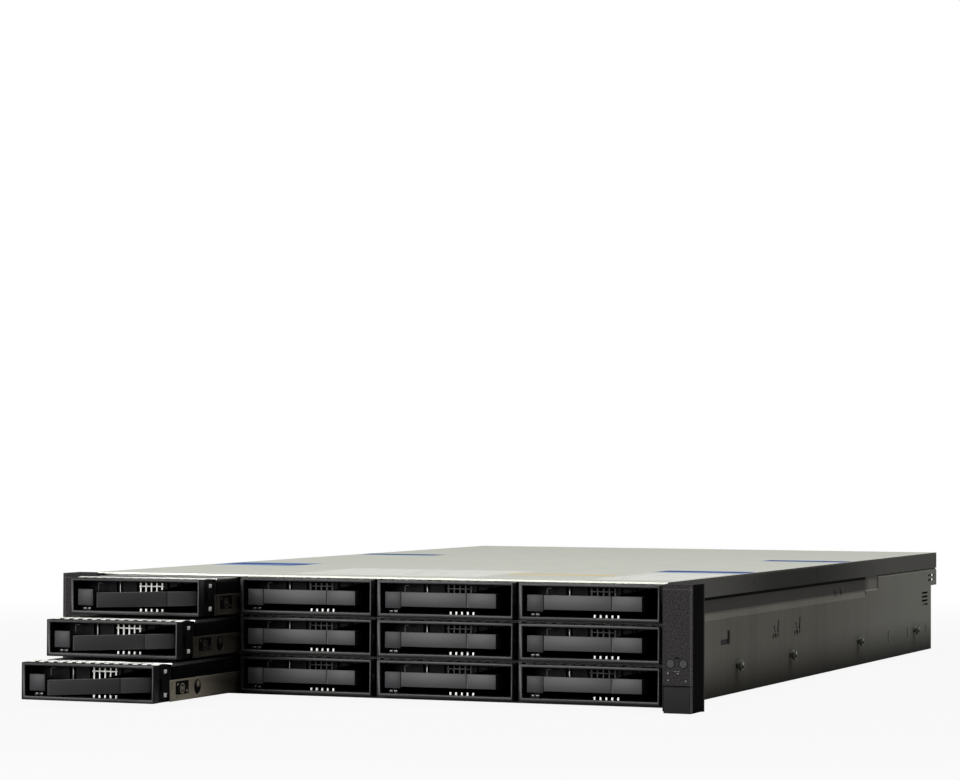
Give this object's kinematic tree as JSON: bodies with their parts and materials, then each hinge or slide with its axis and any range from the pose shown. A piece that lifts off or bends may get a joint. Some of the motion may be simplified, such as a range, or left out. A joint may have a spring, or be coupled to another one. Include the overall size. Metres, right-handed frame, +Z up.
{
  "type": "rack server",
  "caption": "Two-unit rack server with front drive bays, ejector levers on sliding carriers, rack ears, sliding lid, hot-swap supplies and rail studs.",
  "frame": {"origin": "on the underside of the base, on the middle plane, at the rack plane (the back faces of the ears)", "axes": "+X to the right seen from the front, +Y to the rear, +Z up"},
  "size_m": [0.4826, 0.9372, 0.0878],
  "materials": {
    "carrier_black": "moulded, fine grain, with steel and cast parts",
    "lever_grey": "moulded, satin",
    "button_grey": "moulded, satin",
    "chassis_steel": "dark satin coating",
    "cage_steel": "dark satin coating",
    "cover_zinc": "matt zinc-coated sheet",
    "ear_black": "spark-grained moulding",
    "flap_grey": "satin moulding",
    "front_button_black": "satin",
    "stud_steel": "zinc plated",
    "board_green": "solder mask",
    "sink_aluminium": "raw",
    "fan_black": "moulded",
    "latch_green": "moulded",
    "supply_zinc": "zinc-coated sheet",
    "cover_blank_steel": "zinc-coated sheet"
  },
  "bodies": {
    "root": {"chassis": "chassis_steel", "drive_cage": "cage_steel", "front_cover": "cover_zinc", "left_ear": "ear_black", "right_ear": "ear_black", "rack_screws": "stud_steel", "rail_studs": "stud_steel", "backplane": "board_green", "fan_housings": "fan_black", "motherboard": "board_green", "heatsinks": "sink_aluminium", "rear_panel": "cover_blank_steel"},
    "carrier_1": {"carrier_1": "carrier_black"},
    "lever_1": {"lever_1": "lever_grey"},
    "release_button_1": {"release_button_1": "button_grey"},
    "carrier_2": {"carrier_2": "carrier_black"},
    "lever_2": {"lever_2": "lever_grey"},
    "release_button_2": {"release_button_2": "button_grey"},
    "carrier_3": {"carrier_3": "carrier_black"},
    "lever_3": {"lever_3": "lever_grey"},
    "release_button_3": {"release_button_3": "button_grey"},
    "carrier_4": {"carrier_4": "carrier_black"},
    "lever_4": {"lever_4": "lever_grey"},
    "release_button_4": {"release_button_4": "button_grey"},
    "carrier_5": {"carrier_5": "carrier_black"},
    "lever_5": {"lever_5": "lever_grey"},
    "release_button_5": {"release_button_5": "button_grey"},
    "carrier_6": {"carrier_6": "carrier_black"},
    "lever_6": {"lever_6": "lever_grey"},
    "release_button_6": {"release_button_6": "button_grey"},
    "carrier_7": {"carrier_7": "carrier_black"},
    "lever_7": {"lever_7": "lever_grey"},
    "release_button_7": {"release_button_7": "button_grey"},
    "carrier_8": {"carrier_8": "carrier_black"},
    "lever_8": {"lever_8": "lever_grey"},
    "release_button_8": {"release_button_8": "button_grey"},
    "carrier_9": {"carrier_9": "carrier_black"},
    "lever_9": {"lever_9": "lever_grey"},
    "release_button_9": {"release_button_9": "button_grey"},
    "carrier_10": {"carrier_10": "carrier_black"},
    "lever_10": {"lever_10": "lever_grey"},
    "release_button_10": {"release_button_10": "button_grey"},
    "carrier_11": {"carrier_11": "carrier_black"},
    "lever_11": {"lever_11": "lever_grey"},
    "release_button_11": {"release_button_11": "button_grey"},
    "carrier_12": {"carrier_12": "carrier_black"},
    "lever_12": {"lever_12": "lever_grey"},
    "release_button_12": {"release_button_12": "button_grey"},
    "lid": {"lid": "cover_zinc"},
    "right_flap": {"right_flap": "flap_grey"},
    "left_flap": {"left_flap": "flap_grey"},
    "power_button": {"power_button": "front_button_black"},
    "id_button": {"id_button": "front_button_black"},
    "psu_1": {"psu_1": "supply_zinc"},
    "psu_latch_1": {"psu_latch_1": "latch_green"},
    "psu_2": {"psu_2": "supply_zinc"},
    "psu_latch_2": {"psu_latch_2": "latch_green"},
    "fan_rotor_1": {"fan_rotor_1": "fan_black"},
    "fan_rotor_2": {"fan_rotor_2": "fan_black"},
    "fan_rotor_3": {"fan_rotor_3": "fan_black"}
  },
  "joints": [
    {"name": "carrier_1_slide", "type": "slide", "parent": "root", "child": "carrier_1", "axis": [0, -1, 0], "range_m": [-0.056, 0.094]},
    {"name": "lever_1_swing", "type": "hinge", "parent": "carrier_1", "child": "lever_1", "pos_m": [-0.1135, -0.0635, 0.06985], "axis": [0, 0, 1], "range_deg": [-44, 4]},
    {"name": "release_button_1_press", "type": "slide", "parent": "carrier_1", "child": "release_button_1", "axis": [0, 1, 0], "range_m": [0, 0.0015], "stiffness_N_per_m": 400},
    {"name": "carrier_2_slide", "type": "slide", "parent": "root", "child": "carrier_2", "axis": [0, -1, 0], "range_m": [0, 0.15]},
    {"name": "lever_2_swing", "type": "hinge", "parent": "carrier_2", "child": "lever_2", "pos_m": [-0.0068, -0.0075, 0.06985], "axis": [0, 0, 1], "range_deg": [0, 48]},
    {"name": "release_button_2_press", "type": "slide", "parent": "carrier_2", "child": "release_button_2", "axis": [0, 1, 0], "range_m": [0, 0.0015], "stiffness_N_per_m": 400},
    {"name": "carrier_3_slide", "type": "slide", "parent": "root", "child": "carrier_3", "axis": [0, -1, 0], "range_m": [0, 0.15]},
    {"name": "lever_3_swing", "type": "hinge", "parent": "carrier_3", "child": "lever_3", "pos_m": [0.0999, -0.0075, 0.06985], "axis": [0, 0, 1], "range_deg": [0, 48]},
    {"name": "release_button_3_press", "type": "slide", "parent": "carrier_3", "child": "release_button_3", "axis": [0, 1, 0], "range_m": [0, 0.0015], "stiffness_N_per_m": 400},
    {"name": "carrier_4_slide", "type": "slide", "parent": "root", "child": "carrier_4", "axis": [0, -1, 0], "range_m": [0, 0.15]},
    {"name": "lever_4_swing", "type": "hinge", "parent": "carrier_4", "child": "lever_4", "pos_m": [0.2066, -0.0075, 0.06985], "axis": [0, 0, 1], "range_deg": [0, 48]},
    {"name": "release_button_4_press", "type": "slide", "parent": "carrier_4", "child": "release_button_4", "axis": [0, 1, 0], "range_m": [0, 0.0015], "stiffness_N_per_m": 400},
    {"name": "carrier_5_slide", "type": "slide", "parent": "root", "child": "carrier_5", "axis": [0, -1, 0], "range_m": [-0.089, 0.061]},
    {"name": "lever_5_swing", "type": "hinge", "parent": "carrier_5", "child": "lever_5", "pos_m": [-0.1135, -0.0965, 0.04185], "axis": [0, 0, 1], "range_deg": [-44, 4]},
    {"name": "release_button_5_press", "type": "slide", "parent": "carrier_5", "child": "release_button_5", "axis": [0, 1, 0], "range_m": [0, 0.0015], "stiffness_N_per_m": 400},
    {"name": "carrier_6_slide", "type": "slide", "parent": "root", "child": "carrier_6", "axis": [0, -1, 0], "range_m": [0, 0.15]},
    {"name": "lever_6_swing", "type": "hinge", "parent": "carrier_6", "child": "lever_6", "pos_m": [-0.0068, -0.0075, 0.04185], "axis": [0, 0, 1], "range_deg": [0, 48]},
    {"name": "release_button_6_press", "type": "slide", "parent": "carrier_6", "child": "release_button_6", "axis": [0, 1, 0], "range_m": [0, 0.0015], "stiffness_N_per_m": 400},
    {"name": "carrier_7_slide", "type": "slide", "parent": "root", "child": "carrier_7", "axis": [0, -1, 0], "range_m": [0, 0.15]},
    {"name": "lever_7_swing", "type": "hinge", "parent": "carrier_7", "child": "lever_7", "pos_m": [0.0999, -0.0075, 0.04185], "axis": [0, 0, 1], "range_deg": [0, 48]},
    {"name": "release_button_7_press", "type": "slide", "parent": "carrier_7", "child": "release_button_7", "axis": [0, 1, 0], "range_m": [0, 0.0015], "stiffness_N_per_m": 400},
    {"name": "carrier_8_slide", "type": "slide", "parent": "root", "child": "carrier_8", "axis": [0, -1, 0], "range_m": [0, 0.15]},
    {"name": "lever_8_swing", "type": "hinge", "parent": "carrier_8", "child": "lever_8", "pos_m": [0.2066, -0.0075, 0.04185], "axis": [0, 0, 1], "range_deg": [0, 48]},
    {"name": "release_button_8_press", "type": "slide", "parent": "carrier_8", "child": "release_button_8", "axis": [0, 1, 0], "range_m": [0, 0.0015], "stiffness_N_per_m": 400},
    {"name": "carrier_9_slide", "type": "slide", "parent": "root", "child": "carrier_9", "axis": [0, -1, 0], "range_m": [-0.1235, 0.0265]},
    {"name": "lever_9_swing", "type": "hinge", "parent": "carrier_9", "child": "lever_9", "pos_m": [-0.1135, -0.131, 0.01385], "axis": [0, 0, 1], "range_deg": [-44, 4]},
    {"name": "release_button_9_press", "type": "slide", "parent": "carrier_9", "child": "release_button_9", "axis": [0, 1, 0], "range_m": [0, 0.0015], "stiffness_N_per_m": 400},
    {"name": "carrier_10_slide", "type": "slide", "parent": "root", "child": "carrier_10", "axis": [0, -1, 0], "range_m": [0, 0.15]},
    {"name": "lever_10_swing", "type": "hinge", "parent": "carrier_10", "child": "lever_10", "pos_m": [-0.0068, -0.0075, 0.01385], "axis": [0, 0, 1], "range_deg": [0, 48]},
    {"name": "release_button_10_press", "type": "slide", "parent": "carrier_10", "child": "release_button_10", "axis": [0, 1, 0], "range_m": [0, 0.0015], "stiffness_N_per_m": 400},
    {"name": "carrier_11_slide", "type": "slide", "parent": "root", "child": "carrier_11", "axis": [0, -1, 0], "range_m": [0, 0.15]},
    {"name": "lever_11_swing", "type": "hinge", "parent": "carrier_11", "child": "lever_11", "pos_m": [0.0999, -0.0075, 0.01385], "axis": [0, 0, 1], "range_deg": [0, 48]},
    {"name": "release_button_11_press", "type": "slide", "parent": "carrier_11", "child": "release_button_11", "axis": [0, 1, 0], "range_m": [0, 0.0015], "stiffness_N_per_m": 400},
    {"name": "carrier_12_slide", "type": "slide", "parent": "root", "child": "carrier_12", "axis": [0, -1, 0], "range_m": [0, 0.15]},
    {"name": "lever_12_swing", "type": "hinge", "parent": "carrier_12", "child": "lever_12", "pos_m": [0.2066, -0.0075, 0.01385], "axis": [0, 0, 1], "range_deg": [0, 48]},
    {"name": "release_button_12_press", "type": "slide", "parent": "carrier_12", "child": "release_button_12", "axis": [0, 1, 0], "range_m": [0, 0.0015], "stiffness_N_per_m": 400},
    {"name": "lid_slide", "type": "slide", "parent": "root", "child": "lid", "axis": [0, 1, 0], "range_m": [0, 0.016]},
    {"name": "right_flap_hinge", "type": "hinge", "parent": "root", "child": "right_flap", "pos_m": [0.2297, -0.024, 0.0147], "axis": [-1, 0, 0], "range_deg": [0, 90]},
    {"name": "left_flap_hinge", "type": "hinge", "parent": "root", "child": "left_flap", "pos_m": [-0.2297, -0.024, 0.0147], "axis": [-1, 0, 0], "range_deg": [0, 90]},
    {"name": "power_button_press", "type": "slide", "parent": "root", "child": "power_button", "axis": [0, 1, 0], "range_m": [0, 0.001], "stiffness_N_per_m": 300},
    {"name": "id_button_press", "type": "slide", "parent": "root", "child": "id_button", "axis": [0, 1, 0], "range_m": [0, 0.001], "stiffness_N_per_m": 300},
    {"name": "psu_1_slide", "type": "slide", "parent": "root", "child": "psu_1", "axis": [0, 1, 0], "range_m": [0, 0.17]},
    {"name": "psu_latch_1_press", "type": "slide", "parent": "psu_1", "child": "psu_latch_1", "axis": [1, 0, 0], "range_m": [0, 0.0015], "stiffness_N_per_m": 400},
    {"name": "psu_2_slide", "type": "slide", "parent": "root", "child": "psu_2", "axis": [0, 1, 0], "range_m": [0, 0.17]},
    {"name": "psu_latch_2_press", "type": "slide", "parent": "psu_2", "child": "psu_latch_2", "axis": [1, 0, 0], "range_m": [0, 0.0015], "stiffness_N_per_m": 400},
    {"name": "fan_1_spin", "type": "hinge", "parent": "root", "child": "fan_rotor_1", "pos_m": [-0.14, 0.224, 0.0412], "axis": [0, 1, 0], "continuous": true},
    {"name": "fan_2_spin", "type": "hinge", "parent": "root", "child": "fan_rotor_2", "pos_m": [0, 0.224, 0.0412], "axis": [0, 1, 0], "continuous": true},
    {"name": "fan_3_spin", "type": "hinge", "parent": "root", "child": "fan_rotor_3", "pos_m": [0.14, 0.224, 0.0412], "axis": [0, 1, 0], "continuous": true}
  ]
}
